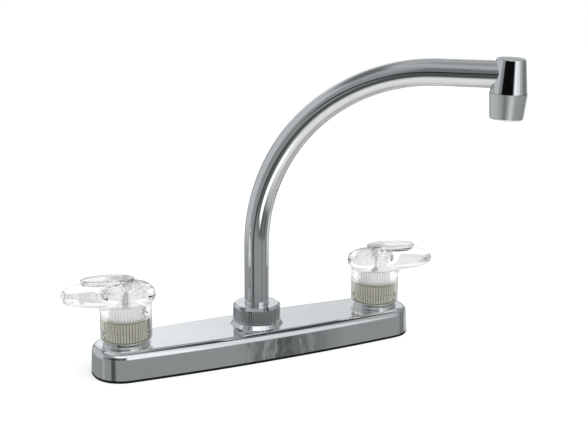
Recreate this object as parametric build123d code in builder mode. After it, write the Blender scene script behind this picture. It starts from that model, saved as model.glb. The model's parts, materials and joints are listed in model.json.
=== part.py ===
from build123d import *
import math
import os

# Two handle kitchen faucet with a high arc spout, in millimetres.
# +Z is up and +Y is to the rear. The origin is the middle of the gasket's underside,
# where the faucet meets the sink deck.

# Layout
handle_spacing = 203.2
spout_direction = -47.0
left_lever_direction = 166.0
right_lever_direction = -14.0
sink_deck_thickness = 12.0

# Fits between pieces, on the radius unless said otherwise
thread_clearance = 0.08
braze_gap = 0.05
seal_clearance = 0.04
stem_running_clearance = 0.08
spline_clearance = 0.08
fitting_running_clearance = 0.08
tube_bore_clearance = 0.2
spout_nut_hole_clearance = 0.2
cartridge_clearance = 0.1
insert_clearance = 0.1
aerator_clearance = 0.1
plug_clearance = 0.06
screw_clearance = 0.3
seat_pocket_clearance = 0.2
cover_hole_clearance = 0.3
gasket_hole_clearance = 1.7
washer_clearance = 0.2
cavity_clearance = 0.5
cavity_headroom = 1.0
skirt_gap = 0.6
nut_gap = 0.1
ring_gap = 0.05
seam_gap = 0.25

# Deck gasket and deck cover
gasket_thickness = 1.8
cover_overhang = 25.0
cover_mid_width = 54.8
cover_end_width = 43.4
cover_end_flat = 0.7
cover_height = 19.6
cover_wall = 1.6
cover_lean_in = 0.9
cover_edge_radius = 5.0
spout_boss_margin = 5.2
spout_boss_flare = 1.7
spout_boss_height = 3.1
handle_boss_margin = 5.3
handle_boss_height = 1.6
boss_edge_radius = 0.7

# Brass under the cover
foot_radius = 16.5
foot_thickness = 3.0
valve_bore_radius = 9.5
valve_neck_wall = 2.5
valve_shoulder = 1.2
chamber_floor_rise = 8.2
inlet_bore_radius = 7.0
inlet_wall = 1.7
hub_neck_wall = 3.4
hub_shoulder = 1.5
hub_floor_rise = 6.2
port_rise = 9.7
port_boss_wall = 1.4
port_boss_reach = 20.0
socket_depth = 6.0
crossover_radius = 6.35
crossover_wall = 0.95

# Threaded shanks under the deck
shank_radius = 10.3
pilot_step = 0.3
pilot_length = 3.0
shank_length = 50.0
relief_depth = 0.6
relief_width = 2.0
relief_top = 30.0
shank_chamfer = 1.0
mounting_washer_radius = 19.0
mounting_washer_thickness = 1.6
mounting_nut_flats = 32.0
mounting_nut_thickness = 6.5

# Cartridge, stem and seat of each valve
cartridge_flange_overlap = 1.9
cartridge_flange_thickness = 2.5
disc_gap = 0.1
disc_margin = 0.8
disc_thickness = 3.0
disc_slot_margin = 1.6
seat_stand = 2.0
seat_offset = 4.6
seat_radius = 3.4
seat_bore_radius = 1.7
seat_pocket_depth = 4.6
seat_spring_length = 3.0
seat_spring_wire = 0.3
seat_spring_margin = 0.3
seat_spring_turns = 3
stem_radius = 4.6
stem_engagement = 8.6
stem_groove_rise = 8.9
stem_hole_depth = 7.0
seal_section_radius = 0.7
spline_run_out = 0.6
spline_teeth = 16
spline_groove_radius = 0.45

# Nuts on the valve necks
cover_nut_wall = 4.3
cover_nut_height = 2.6
bonnet_wall = 2.92
bonnet_nut_height = 14.6
bonnet_lip = 2.9
bonnet_hole_margin = 1.0
bonnet_rib_count = 45
bonnet_rib_groove_radius = 0.55
bonnet_rib_margin = 0.8

# Clear handle, with heights above the foot of its skirt
skirt_radius = 18.3
skirt_lip_wall = 1.3
skirt_counterbore_depth = 6.7
insert_wall = 8.2
insert_height = 10.4
barrel_recess = 3.6
barrel_shoulder_radius = 5.5
head_blend_radius = 4.0
head_half_width = 17.5
head_under_height = 23.8
lever_tip_height = 31.0
head_crown_height = 40.4
lever_reach = 45.6
lobe_reach = 21.3
lever_plan_fullness = 2.6
lobe_plan_fullness = 3.7
lever_top_fullness = 5.0
lever_under_fullness = 4.0
lobe_top_fullness = 3.0
lobe_under_fullness = 5.0
head_stations = (-0.998, -0.96, -0.86, -0.66, -0.36, 0, 0.32, 0.58, 0.77, 0.89, 0.96, 0.998)
cap_half_length = 19.0
cap_half_width = 9.9
cap_thickness = 2.0
cap_edge_radius = 0.6
cap_rim = 1.3
cap_dish = 0.3
cap_plug_radius = 4.4
cap_plug_depth = 3.6
pad_height = 41.5
pad_inset = 0.7
screw_web = 8.2
screw_radius = 1.95
screw_length = 16.0
screw_head_radius = 3.8
screw_head_height = 2.4
screw_slot_width = 0.9
screw_slot_depth = 1.1

# Spout
tube_radius = 9.1
tube_wall = 1.0
riser_height = 59.7
bend_radius = 134.3
bend_angle = 89.2
run_length = 47.5
tube_end_setback = 4.0
fitting_floor_gap = 2.5
fitting_length = 11.5
fitting_bore_radius = 6.0
fitting_spigot_length = 8.0
spout_seal_rises = (2.7, 6.7)
spout_seal_radius = 0.85
glide_washer_margin = 0.4
glide_washer_thickness = 0.8
retaining_ring_margin = 0.9
retaining_ring_thickness = 1.4
ring_groove_depth = 0.45

# Spout nut
spout_nut_wall = 4.87
spout_nut_height = 12.6
spout_nut_lip = 1.8
spout_nut_chamfer = 1.8
spout_nut_flute_count = 84
spout_nut_flute_radius = 0.35
spout_nut_flute_margin = 1.0

# Spout head and aerator
head_lean = 2.0
head_rise = 10.7
head_drop = 11.8
spout_head_top_radius = 9.6
spout_head_rim_radius = 12.2
spout_head_edge_radius = 0.9
head_bore_rise = 5.0
nipple_radius = 10.4
nipple_wall = 2.9
nipple_length = 6.0
aerator_top_radius = 12.6
aerator_foot_radius = 11.1
aerator_height = 17.2
aerator_edge_radius = 1.1
aerator_step = 0.6
aerator_lip = 2.0
aerator_lip_reach = 1.2
aerator_washer_thickness = 1.5
screen_thickness = 1.5
screen_wall = 2.2
screen_hole_radius = 1.1
screen_ring_radii = (0.0, 3.2, 6.1)
screen_hole_counts = (1, 6, 12)

# Radii that follow from the sizes above
valve_neck_radius = valve_bore_radius + valve_neck_wall
valve_barrel_radius = valve_neck_radius + valve_shoulder
valve_thread_bore = valve_neck_radius + thread_clearance
hub_bore_radius = tube_radius + tube_bore_clearance
hub_neck_radius = hub_bore_radius + hub_neck_wall
hub_barrel_radius = hub_neck_radius + hub_shoulder
hub_thread_bore = hub_neck_radius + thread_clearance
spout_boss_radius = hub_neck_radius + spout_boss_margin
handle_boss_radius = valve_neck_radius + handle_boss_margin
cover_nut_radius = valve_thread_bore + cover_nut_wall
bonnet_nut_radius = valve_thread_bore + bonnet_wall
spout_nut_radius = hub_thread_bore + spout_nut_wall
pilot_radius = shank_radius + pilot_step
port_boss_radius = crossover_radius + port_boss_wall
crossover_bore_radius = crossover_radius - crossover_wall
disc_radius = valve_bore_radius - disc_margin
cartridge_bore_radius = stem_radius + stem_running_clearance
cavity_radius = bonnet_nut_radius + cavity_clearance
insert_radius = stem_radius + insert_wall
screw_hole_radius = screw_radius + screw_clearance
screw_bore_radius = cap_plug_radius + plug_clearance
ring_groove_radius = tube_radius - ring_groove_depth
head_bore_radius = nipple_radius - nipple_wall
aerator_bore_radius = nipple_radius - aerator_step

# Heights that follow from the sizes above
cover_top = gasket_thickness + cover_height
cover_underside = cover_top - cover_wall
foot_top = gasket_thickness + foot_thickness
port_height = gasket_thickness + port_rise
chamber_floor = gasket_thickness + chamber_floor_rise
pocket_floor = chamber_floor - seat_pocket_depth
inlet_bore_top = pocket_floor - inlet_wall
hub_floor = gasket_thickness + hub_floor_rise
disc_foot = chamber_floor + seat_stand
disc_top = disc_foot + disc_thickness
cartridge_foot = disc_top + disc_gap
stem_groove_foot = cartridge_foot + stem_groove_rise
handle_boss_top = cover_top + handle_boss_height
cover_nut_top = handle_boss_top + cover_nut_height
bonnet_foot = cover_nut_top + nut_gap
bonnet_top = bonnet_foot + bonnet_nut_height
cartridge_top = bonnet_top - bonnet_lip
valve_neck_top = cartridge_top - cartridge_flange_thickness
cavity_top = bonnet_top + cavity_headroom
insert_top = cavity_top + insert_height
stem_top = cavity_top + stem_engagement
screw_seat = insert_top + screw_web
skirt_foot = cover_nut_top + skirt_gap
pad_top = skirt_foot + pad_height
spout_boss_top = cover_top + spout_boss_height
spout_nut_foot = spout_boss_top + nut_gap
spout_nut_top = spout_nut_foot + spout_nut_height
spout_nut_lip_foot = spout_nut_top - spout_nut_lip
retaining_ring_top = spout_nut_lip_foot - nut_gap
retaining_ring_foot = retaining_ring_top - retaining_ring_thickness
glide_washer_foot = retaining_ring_foot - ring_gap - glide_washer_thickness
hub_neck_top = glide_washer_foot - ring_gap
fitting_foot = hub_floor + fitting_floor_gap
tube_foot = fitting_foot + fitting_length
riser_top = cover_top + riser_height
washer_foot = -sink_deck_thickness - mounting_washer_thickness

# Lengths and places that follow from the sizes above
cover_length = handle_spacing + 2 * cover_overhang
cover_corner_radius = cover_end_width / 2 - cover_end_flat
cover_inner_edge_radius = cover_edge_radius - cover_wall
cap_offset = (lever_reach - lobe_reach) / 2
socket_floor = port_boss_reach - socket_depth
crossover_length = handle_spacing / 2 - 2 * (socket_floor + braze_gap)
nipple_foot = -head_drop - nipple_length
aerator_top = -head_drop - seam_gap
aerator_foot = aerator_top - aerator_height
aerator_insert_top = nipple_foot - aerator_washer_thickness
aerator_insert_foot = aerator_foot + aerator_lip


def direction(angle):
    """The horizontal unit vector at an angle from +X."""
    return Vector(math.cos(math.radians(angle)), math.sin(math.radians(angle)), 0)


def level(height, x=0.0, angle=0.0):
    """A horizontal plane at a height over x, with its X axis turned to an angle."""
    return Plane(origin=(x, 0, height), x_dir=direction(angle), z_dir=(0, 0, 1))


def upright(x=0.0, angle=0.0):
    """A vertical plane through x, with its X axis outwards along an angle and its Y axis up."""
    return Plane(origin=(x, 0, 0), x_dir=direction(angle), z_dir=-direction(angle + 90))


def ring(low, high, outer, inner=0.0, x=0.0, mode=Mode.ADD):
    """Add, or take from, the part in hand a round bar or tube from one height to another over x."""
    with BuildSketch(level(low, x)) as section:
        Circle(outer)
        if inner > 0:
            Circle(inner, mode=Mode.SUBTRACT)
    extrude(section.sketch, amount=high - low, mode=mode)


def flutes(low, high, radius, groove_radius, count, x=0.0):
    """Cut upright round-bottomed grooves into the rim of the part in hand."""
    with BuildSketch(level(low, x)) as section:
        with PolarLocations(radius, count):
            Circle(groove_radius)
    extrude(section.sketch, amount=high - low, mode=Mode.SUBTRACT)


def edges_at(part, height, radius):
    """The circles of a part with a radius and at a height."""
    circles = part.edges().filter_by(GeomType.CIRCLE)
    level_circles = [e for e in circles if abs(e.center().Z - height) < 0.01]
    return [e for e in level_circles if abs(e.radius - radius) < 0.01]


def edges_on_wall(part, radius, x):
    """The edges that run up and down over an upright round wall of a part."""
    found = []
    for edge in part.edges():
        points = [edge @ share for share in (0, 0.25, 0.5, 0.75, 1)]
        on_wall = all(abs(math.hypot(p.X - x, p.Y) - radius) < 0.01 for p in points)
        if on_wall and edge.bounding_box().size.Z > 0.1:
            found.append(edge)
    return found


def save(part, name):
    """Label a finished piece and write it to its own file."""
    part.label = name
    export_step(part, f"parts/{name}.step")


# ---------------------------------------------------------------- deck


def cover_plan(height, inset=0.0):
    """The bowed outline of the cover with its rounded corners, drawn at a height."""
    half_length = cover_length / 2
    half_end = cover_end_width / 2
    half_mid = cover_mid_width / 2
    with BuildSketch(level(height)) as plan:
        with BuildLine():
            front = ThreePointArc((-half_length, -half_end), (0, -half_mid), (half_length, -half_end))
            right = Line(front @ 1, (half_length, half_end))
            rear = ThreePointArc(right @ 1, (0, half_mid), (-half_length, half_end))
            Line(rear @ 1, front @ 0)
        make_face()
        fillet(plan.vertices(), cover_corner_radius)
        if inset > 0:
            offset(amount=-inset)
    return plan.sketch


def build_deck_gasket():
    """Flat gasket with a hole round each shank."""
    with BuildPart() as gasket:
        extrude(cover_plan(0), amount=gasket_thickness)
        with BuildSketch(level(0)):
            with Locations((-handle_spacing / 2, 0), (handle_spacing / 2, 0)):
                Circle(pilot_radius + gasket_hole_clearance)
        extrude(amount=gasket_thickness, mode=Mode.SUBTRACT)
    return gasket.part


def build_deck_cover():
    """Pressed cover: drafted walls, a rolled top edge, hollow below, a low boss round each hole."""
    with BuildPart() as hollow:
        hollow_foot = cover_plan(gasket_thickness, cover_wall)
        hollow_top = cover_plan(cover_underside, cover_wall + cover_lean_in)
        loft([hollow_foot, hollow_top], ruled=True)
        fillet(hollow.faces().sort_by(Axis.Z)[-1].edges(), cover_inner_edge_radius)
    with BuildPart() as cover:
        foot_plan = cover_plan(gasket_thickness)
        loft([foot_plan, cover_plan(cover_top, cover_lean_in)], ruled=True)
        fillet(cover.faces().sort_by(Axis.Z)[-1].edges(), cover_edge_radius)
        add(hollow.part, mode=Mode.SUBTRACT)
        with BuildSketch(level(cover_top)):
            Circle(spout_boss_radius + spout_boss_flare)
        with BuildSketch(level(spout_boss_top)):
            Circle(spout_boss_radius)
        loft(ruled=True)
        hub_hole = hub_neck_radius + cover_hole_clearance
        ring(cover_underside, spout_boss_top, hub_hole, mode=Mode.SUBTRACT)
        fillet(edges_at(cover, spout_boss_top, spout_boss_radius), boss_edge_radius)
        valve_hole = valve_neck_radius + cover_hole_clearance
        for x in (-handle_spacing / 2, handle_spacing / 2):
            ring(cover_top, handle_boss_top, handle_boss_radius, x=x)
            ring(cover_underside, handle_boss_top, valve_hole, x=x, mode=Mode.SUBTRACT)
        fillet(edges_at(cover, handle_boss_top, handle_boss_radius), boss_edge_radius)
    return cover.part


# ---------------------------------------------------------------- waterway


def build_valve_body(x):
    """Brass body on the gasket: shank below, foot, barrel with a side port, and a threaded neck."""
    port = Plane(origin=(x, 0, port_height), x_dir=(0, 1, 0), z_dir=(-x, 0, 0))
    with BuildPart() as body:
        ring(gasket_thickness, foot_top, foot_radius, x=x)
        ring(foot_top, cover_underside, valve_barrel_radius, x=x)
        ring(cover_underside, valve_neck_top, valve_neck_radius, x=x)
        ring(-pilot_length, gasket_thickness, pilot_radius, x=x)
        ring(-shank_length, -pilot_length, shank_radius, x=x)
        chamfer(edges_at(body, -shank_length, shank_radius), shank_chamfer)
        relief_foot = -relief_top - relief_width
        ring(relief_foot, -relief_top, shank_radius, shank_radius - relief_depth, x, Mode.SUBTRACT)
        with BuildSketch(port):
            Circle(port_boss_radius)
        extrude(amount=port_boss_reach)
        ring(chamber_floor, valve_neck_top, valve_bore_radius, x=x, mode=Mode.SUBTRACT)
        ring(-shank_length, inlet_bore_top, inlet_bore_radius, x=x, mode=Mode.SUBTRACT)
        with BuildSketch(level(pocket_floor, x)):
            with Locations((0, seat_offset)):
                Circle(seat_radius + seat_pocket_clearance)
        extrude(amount=seat_pocket_depth, mode=Mode.SUBTRACT)
        with BuildSketch(level(inlet_bore_top, x)):
            with Locations((0, seat_offset)):
                Circle(seat_bore_radius)
        extrude(amount=inlet_wall, mode=Mode.SUBTRACT)
        with BuildSketch(port):
            Circle(crossover_bore_radius)
        extrude(amount=port_boss_reach, mode=Mode.SUBTRACT)
        with BuildSketch(port.offset(socket_floor)):
            Circle(crossover_radius + braze_gap)
        extrude(amount=socket_depth, mode=Mode.SUBTRACT)
    return body.part


def build_spout_hub():
    """Brass centre body: a foot, a socket for a crossover tube on each side, and the spout's bore."""
    port = Plane(origin=(0, 0, port_height), x_dir=(0, 1, 0), z_dir=(1, 0, 0))
    with BuildPart() as hub:
        ring(gasket_thickness, foot_top, foot_radius)
        ring(foot_top, cover_underside, hub_barrel_radius)
        ring(cover_underside, hub_neck_top, hub_neck_radius)
        with BuildSketch(port):
            Circle(port_boss_radius)
        extrude(amount=port_boss_reach, both=True)
        ring(hub_floor, hub_neck_top, hub_bore_radius, mode=Mode.SUBTRACT)
        with BuildSketch(port):
            Circle(crossover_bore_radius)
        extrude(amount=port_boss_reach, both=True, mode=Mode.SUBTRACT)
        with BuildSketch(port.offset(socket_floor), port.offset(-port_boss_reach)):
            Circle(crossover_radius + braze_gap)
        extrude(amount=socket_depth, mode=Mode.SUBTRACT)
    return hub.part


def build_crossover_tube(side):
    """Straight copper tube between a valve body's socket and the hub's."""
    start = Plane(
        origin=(side * (socket_floor + braze_gap), 0, port_height),
        x_dir=(0, 1, 0),
        z_dir=(side, 0, 0),
    )
    with BuildPart() as tube:
        with BuildSketch(start):
            Circle(crossover_radius)
            Circle(crossover_bore_radius, mode=Mode.SUBTRACT)
        extrude(amount=crossover_length)
    return tube.part


def build_mounting_washer(x):
    """Washer under the sink deck."""
    with BuildPart() as washer:
        hole = shank_radius + washer_clearance
        ring(washer_foot, -sink_deck_thickness, mounting_washer_radius, hole, x)
    return washer.part


def build_mounting_nut(x):
    """Hexagon lock nut that draws the shank down against the washer."""
    with BuildPart() as nut:
        with BuildSketch(level(washer_foot - mounting_nut_thickness, x)):
            RegularPolygon(mounting_nut_flats / 2, 6, major_radius=False)
            Circle(shank_radius + thread_clearance, mode=Mode.SUBTRACT)
        extrude(amount=mounting_nut_thickness)
    return nut.part


# ---------------------------------------------------------------- valves


def build_cartridge(x):
    """Plastic guide that centres the stem and closes the valve's bore."""
    with BuildPart() as cartridge:
        body_radius = valve_bore_radius - cartridge_clearance
        ring(cartridge_foot, valve_neck_top, body_radius, x=x)
        flange_radius = valve_bore_radius + cartridge_flange_overlap
        ring(valve_neck_top, cartridge_top, flange_radius, x=x)
        ring(cartridge_foot, cartridge_top, cartridge_bore_radius, x=x, mode=Mode.SUBTRACT)
    return cartridge.part


def spline_section(plane, clearance):
    """A round bar with the spline's grooves in its rim, grown all round by a clearance."""
    with BuildSketch(plane) as section:
        Circle(stem_radius + clearance)
        with PolarLocations(stem_radius + clearance, spline_teeth):
            Circle(spline_groove_radius - clearance / 2, mode=Mode.SUBTRACT)
    return section.sketch


def build_stem(x, angle):
    """Brass stem: slotted disc over the seat, seal groove, and a splined, tapped top."""
    spline_foot = cavity_top - spline_run_out
    with BuildPart() as stem:
        ring(disc_foot, disc_top, disc_radius, x=x)
        slot_width = 2 * (seat_bore_radius + disc_slot_margin)
        with BuildSketch(level(disc_foot, x)):
            with Locations((seat_offset + seat_radius, 0)):
                Rectangle(4 * seat_radius, slot_width)
        extrude(amount=disc_thickness, mode=Mode.SUBTRACT)
        ring(disc_top, spline_foot, stem_radius, x=x)
        extrude(spline_section(level(spline_foot, x, angle), 0), amount=stem_top - spline_foot)
        groove_top = stem_groove_foot + 2 * (seal_section_radius + seal_clearance)
        groove_radius = cartridge_bore_radius - 2 * (seal_section_radius + seal_clearance)
        ring(stem_groove_foot, groove_top, disc_radius, groove_radius, x, Mode.SUBTRACT)
        ring(stem_top - stem_hole_depth, stem_top, screw_radius + braze_gap, x=x, mode=Mode.SUBTRACT)
    return stem.part


def seal(height, outer, section_radius, x=0.0):
    """Add to the part in hand a rubber ring of round section, centred at a height."""
    with BuildSketch(upright(x)) as section:
        with Locations((outer - section_radius, height)):
            Circle(section_radius)
    revolve(section.sketch, axis=Axis((x, 0, 0), (0, 0, 1)))


def build_stem_seal(x):
    """Rubber ring in the stem's groove."""
    with BuildPart() as ring_seal:
        middle = stem_groove_foot + seal_section_radius + seal_clearance
        seal(middle, cartridge_bore_radius - seal_clearance, seal_section_radius, x)
    return ring_seal.part


def build_seat(x):
    """Rubber cup that the disc slides over."""
    spring_top = pocket_floor + seat_spring_length
    with BuildPart() as seat:
        with BuildSketch(level(spring_top, x)):
            with Locations((0, seat_offset)):
                Circle(seat_radius)
                Circle(seat_bore_radius, mode=Mode.SUBTRACT)
        extrude(amount=disc_foot - spring_top)
    return seat.part


def build_seat_spring(x):
    """Spring that holds the seat up against the disc."""
    rise = seat_spring_length - 2 * seat_spring_wire
    coil_radius = seat_radius - seat_spring_margin - seat_spring_wire
    centre = (x, seat_offset, pocket_floor + seat_spring_wire)
    with BuildPart() as spring:
        with BuildLine() as coil:
            Helix(rise / seat_spring_turns, rise, coil_radius, center=centre)
        with BuildSketch(Plane(origin=coil.line @ 0, z_dir=coil.line % 0)):
            Circle(seat_spring_wire)
        sweep(path=coil.line)
    return spring.part


def build_cover_nut(x):
    """Low chrome ring nut that clamps the cover on the valve body."""
    with BuildPart() as nut:
        ring(handle_boss_top, cover_nut_top, cover_nut_radius, valve_thread_bore, x)
        fillet(edges_at(nut, cover_nut_top, cover_nut_radius), boss_edge_radius)
    return nut.part


def build_bonnet_nut(x):
    """Ribbed nut that holds the cartridge down on the valve body's neck."""
    with BuildPart() as nut:
        ring(bonnet_foot, bonnet_top, bonnet_nut_radius, stem_radius + bonnet_hole_margin, x)
        ring(bonnet_foot, cartridge_top, valve_thread_bore, x=x, mode=Mode.SUBTRACT)
        ribs_foot = bonnet_foot + bonnet_rib_margin
        ribs_top = bonnet_top - bonnet_rib_margin
        flutes(ribs_foot, ribs_top, bonnet_nut_radius, bonnet_rib_groove_radius, bonnet_rib_count, x)
    return nut.part


# ---------------------------------------------------------------- handles


def swell(share, fullness):
    """How full an outline still is at a share of its length: 1 in the middle and 0 at the tip."""
    return math.sqrt(1 - share**fullness)


def head_section(x, angle, share):
    """Elliptical cross-section of the head at a share of the lever, or at minus a share of the lobe."""
    lever = share > 0
    along = share * (lever_reach if lever else lobe_reach)
    plan_fullness = lever_plan_fullness if lever else lobe_plan_fullness
    top_fullness = lever_top_fullness if lever else lobe_top_fullness
    under_fullness = lever_under_fullness if lever else lobe_under_fullness
    half_width = head_half_width * swell(abs(share), plan_fullness)
    above = (head_crown_height - lever_tip_height) * swell(abs(share), top_fullness)
    below = (lever_tip_height - head_under_height) * swell(abs(share), under_fullness)
    middle = skirt_foot + lever_tip_height + (above - below) / 2
    centre = Vector(x, 0, middle) + direction(angle) * along
    with BuildSketch(Plane(origin=centre, x_dir=direction(angle + 90), z_dir=direction(angle))) as section:
        Ellipse(half_width, (above + below) / 2)
    return section.sketch


def build_handle(x, angle):
    """Clear handle: round skirt, domed head with a long lever and a short lobe, and an oval pad."""
    barrel_top = skirt_foot + head_crown_height - barrel_recess
    pad_root = skirt_foot + lever_tip_height
    with BuildPart() as handle:
        ring(skirt_foot, barrel_top, skirt_radius, x=x)
        fillet(edges_at(handle, barrel_top, skirt_radius), barrel_shoulder_radius)
        loft([head_section(x, angle, share) for share in head_stations])
        fillet(edges_on_wall(handle, skirt_radius, x), head_blend_radius)
        with BuildSketch(level(pad_root, x, angle)):
            with Locations((cap_offset, 0)):
                Ellipse(cap_half_length - pad_inset, cap_half_width - pad_inset)
        extrude(amount=pad_top - pad_root)
        skirt_lip_top = skirt_foot + skirt_counterbore_depth
        ring(skirt_foot, skirt_lip_top, skirt_radius - skirt_lip_wall, x=x, mode=Mode.SUBTRACT)
        ring(skirt_foot, cavity_top, cavity_radius, x=x, mode=Mode.SUBTRACT)
        ring(cavity_top, insert_top, insert_radius + insert_clearance, x=x, mode=Mode.SUBTRACT)
        ring(insert_top, screw_seat, screw_hole_radius, x=x, mode=Mode.SUBTRACT)
        ring(screw_seat, pad_top, screw_bore_radius, x=x, mode=Mode.SUBTRACT)
    return handle.part


def build_handle_insert(x, angle):
    """Milky insert between the handle and the stem, with the spline's socket."""
    with BuildPart() as insert:
        ring(cavity_top, insert_top, insert_radius, screw_hole_radius, x)
        socket = spline_section(level(cavity_top, x, angle), spline_clearance)
        extrude(socket, amount=stem_engagement, mode=Mode.SUBTRACT)
    return insert.part


def build_handle_screw(x, angle):
    """Pan head screw down through the handle and the insert into the stem."""
    head_top = screw_seat + screw_head_height
    with BuildPart() as screw:
        ring(screw_seat - screw_length, screw_seat, screw_radius, x=x)
        ring(screw_seat, head_top, screw_head_radius, x=x)
        fillet(edges_at(screw, head_top, screw_head_radius), screw_head_height / 3)
        with BuildSketch(level(head_top - screw_slot_depth, x, angle)):
            Rectangle(2 * screw_head_radius, screw_slot_width)
            Rectangle(screw_slot_width, 2 * screw_head_radius)
        extrude(amount=screw_slot_depth, mode=Mode.SUBTRACT)
    return screw.part


def build_index_cap(x, angle):
    """Oval cap on the pad, with a shallow dished face and a plug in the screw's bore."""
    with BuildPart() as cap:
        with BuildSketch(level(pad_top, x, angle)):
            with Locations((cap_offset, 0)):
                Ellipse(cap_half_length, cap_half_width)
        extrude(amount=cap_thickness)
        fillet(cap.faces().sort_by(Axis.Z)[-1].edges(), cap_edge_radius)
        with BuildSketch(level(pad_top + cap_thickness - cap_dish, x, angle)):
            with Locations((cap_offset, 0)):
                Ellipse(cap_half_length - cap_rim, cap_half_width - cap_rim)
        extrude(amount=cap_dish, mode=Mode.SUBTRACT)
        ring(pad_top - cap_plug_depth, pad_top, cap_plug_radius, x=x)
    return cap.part


# ---------------------------------------------------------------- spout


def spout_path():
    """Centre line of the spout tube: up the riser, round the bend and out along the run."""
    plane = upright(0, spout_direction)
    end_angle = math.radians(90 - bend_angle)
    out = Vector(math.cos(end_angle), math.sin(end_angle))
    with BuildLine(plane) as path:
        riser = Line((0, tube_foot), (0, riser_top))
        bend = JernArc(riser @ 1, riser % 1, bend_radius, -bend_angle)
        Line(bend @ 1, plane.from_local_coords(plane.to_local_coords(bend @ 1) + out * run_length))
    return path.line


def tube_end_plane():
    """Plane square across the tube's end, facing outwards along its centre line."""
    path = spout_path()
    return Plane(origin=path @ 1, z_dir=path % 1).offset(-tube_end_setback)


def head_frame():
    """Plane at the outlet head's axis, on the tube's centre line: Z up the leaning axis, X outwards."""
    end = spout_path() @ 1
    lean = math.radians(head_lean)
    up = Vector(0, 0, 1) * math.cos(lean) + direction(spout_direction) * math.sin(lean)
    across = direction(spout_direction + 90)
    return Plane(origin=end, x_dir=across.cross(up), z_dir=up)


def head_ring(low, high, outer, inner=0.0, mode=Mode.ADD):
    """Add, or take from, the part in hand a round bar or tube along the outlet head's axis."""
    with BuildSketch(head_frame().offset(low)) as section:
        Circle(outer)
        if inner > 0:
            Circle(inner, mode=Mode.SUBTRACT)
    extrude(section.sketch, amount=high - low, mode=mode)


def head_cone(low, low_radius, high, high_radius):
    """Add to the part in hand a cone along the outlet head's axis."""
    with BuildSketch(head_frame().offset(low)) as foot:
        Circle(low_radius)
    with BuildSketch(head_frame().offset(high)) as top:
        Circle(high_radius)
    loft([foot.sketch, top.sketch])


def build_spout_tube():
    """Bent tube with a snap ring groove near its foot."""
    with BuildPart() as tube:
        with BuildSketch(level(tube_foot)):
            Circle(tube_radius)
            Circle(tube_radius - tube_wall, mode=Mode.SUBTRACT)
        sweep(path=spout_path())
        groove = (retaining_ring_foot, retaining_ring_top, hub_neck_radius, ring_groove_radius)
        ring(*groove, mode=Mode.SUBTRACT)
        split(bisect_by=tube_end_plane(), keep=Keep.BOTTOM)
    return tube.part


def build_spout_end_fitting():
    """Brass end piece brazed into the tube's foot, with two seal grooves."""
    spigot_top = tube_foot + fitting_spigot_length
    groove_width = 2 * (spout_seal_radius + seal_clearance)
    with BuildPart() as fitting:
        ring(fitting_foot, tube_foot, hub_bore_radius - fitting_running_clearance)
        ring(tube_foot, spigot_top, tube_radius - tube_wall - braze_gap)
        ring(fitting_foot, spigot_top, fitting_bore_radius, mode=Mode.SUBTRACT)
        for rise in spout_seal_rises:
            foot = fitting_foot + rise
            groove_radius = hub_bore_radius - groove_width
            ring(foot, foot + groove_width, hub_bore_radius, groove_radius, mode=Mode.SUBTRACT)
    return fitting.part


def build_spout_seals():
    """The two rubber rings in the end fitting's grooves."""
    with BuildPart() as seals:
        for rise in spout_seal_rises:
            middle = fitting_foot + rise + spout_seal_radius + seal_clearance
            seal(middle, hub_bore_radius - seal_clearance, spout_seal_radius)
    return seals.part


def build_spout_glide_washer():
    """Plastic washer that the snap ring turns on."""
    with BuildPart() as washer:
        outer = hub_neck_radius - glide_washer_margin
        washer_top = glide_washer_foot + glide_washer_thickness
        ring(glide_washer_foot, washer_top, outer, hub_bore_radius)
    return washer.part


def build_spout_retaining_ring():
    """Snap ring in the tube's groove, held down by the spout nut's lip."""
    with BuildPart() as snap_ring:
        outer = hub_neck_radius - retaining_ring_margin
        ring(retaining_ring_foot, retaining_ring_top, outer, ring_groove_radius + braze_gap)
    return snap_ring.part


def build_spout_nut():
    """Fluted nut on the hub's neck, with a chamfered top and a lip over the snap ring."""
    with BuildPart() as nut:
        ring(spout_nut_foot, spout_nut_top, spout_nut_radius)
        chamfer(edges_at(nut, spout_nut_top, spout_nut_radius), spout_nut_chamfer)
        ring(spout_nut_foot, spout_nut_lip_foot, hub_thread_bore, mode=Mode.SUBTRACT)
        hole = tube_radius + spout_nut_hole_clearance
        ring(spout_nut_lip_foot, spout_nut_top, hole, mode=Mode.SUBTRACT)
        flute_foot = spout_nut_foot + spout_nut_flute_margin
        flute_top = spout_nut_top - spout_nut_chamfer - spout_nut_flute_margin
        flutes(flute_foot, flute_top, spout_nut_radius, spout_nut_flute_radius, spout_nut_flute_count)
    return nut.part


def build_spout_head():
    """Tapered outlet head with a side socket for the tube and a threaded nipple below."""
    with BuildPart() as head:
        head_cone(-head_drop, spout_head_rim_radius, head_rise, spout_head_top_radius)
        fillet(head.edges().sort_by(Axis.Z)[-1], spout_head_edge_radius)
        head_ring(nipple_foot, -head_drop, nipple_radius)
        head_ring(nipple_foot, head_bore_rise, head_bore_radius, mode=Mode.SUBTRACT)
        with BuildSketch(tube_end_plane()):
            Circle(tube_radius + braze_gap)
        extrude(amount=-2 * spout_head_rim_radius, mode=Mode.SUBTRACT)
    return head.part


def build_aerator_housing():
    """Tapered aerator shell, screwed on the head's nipple."""
    with BuildPart() as housing:
        head_cone(aerator_foot, aerator_foot_radius, aerator_top, aerator_top_radius)
        fillet(housing.edges().sort_by(Axis.Z)[0], aerator_edge_radius)
        head_ring(nipple_foot, aerator_top, nipple_radius + thread_clearance, mode=Mode.SUBTRACT)
        head_ring(aerator_insert_foot, nipple_foot, aerator_bore_radius, mode=Mode.SUBTRACT)
        mouth_radius = aerator_bore_radius - aerator_lip_reach
        head_ring(aerator_foot, aerator_insert_foot, mouth_radius, mode=Mode.SUBTRACT)
    return housing.part


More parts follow.
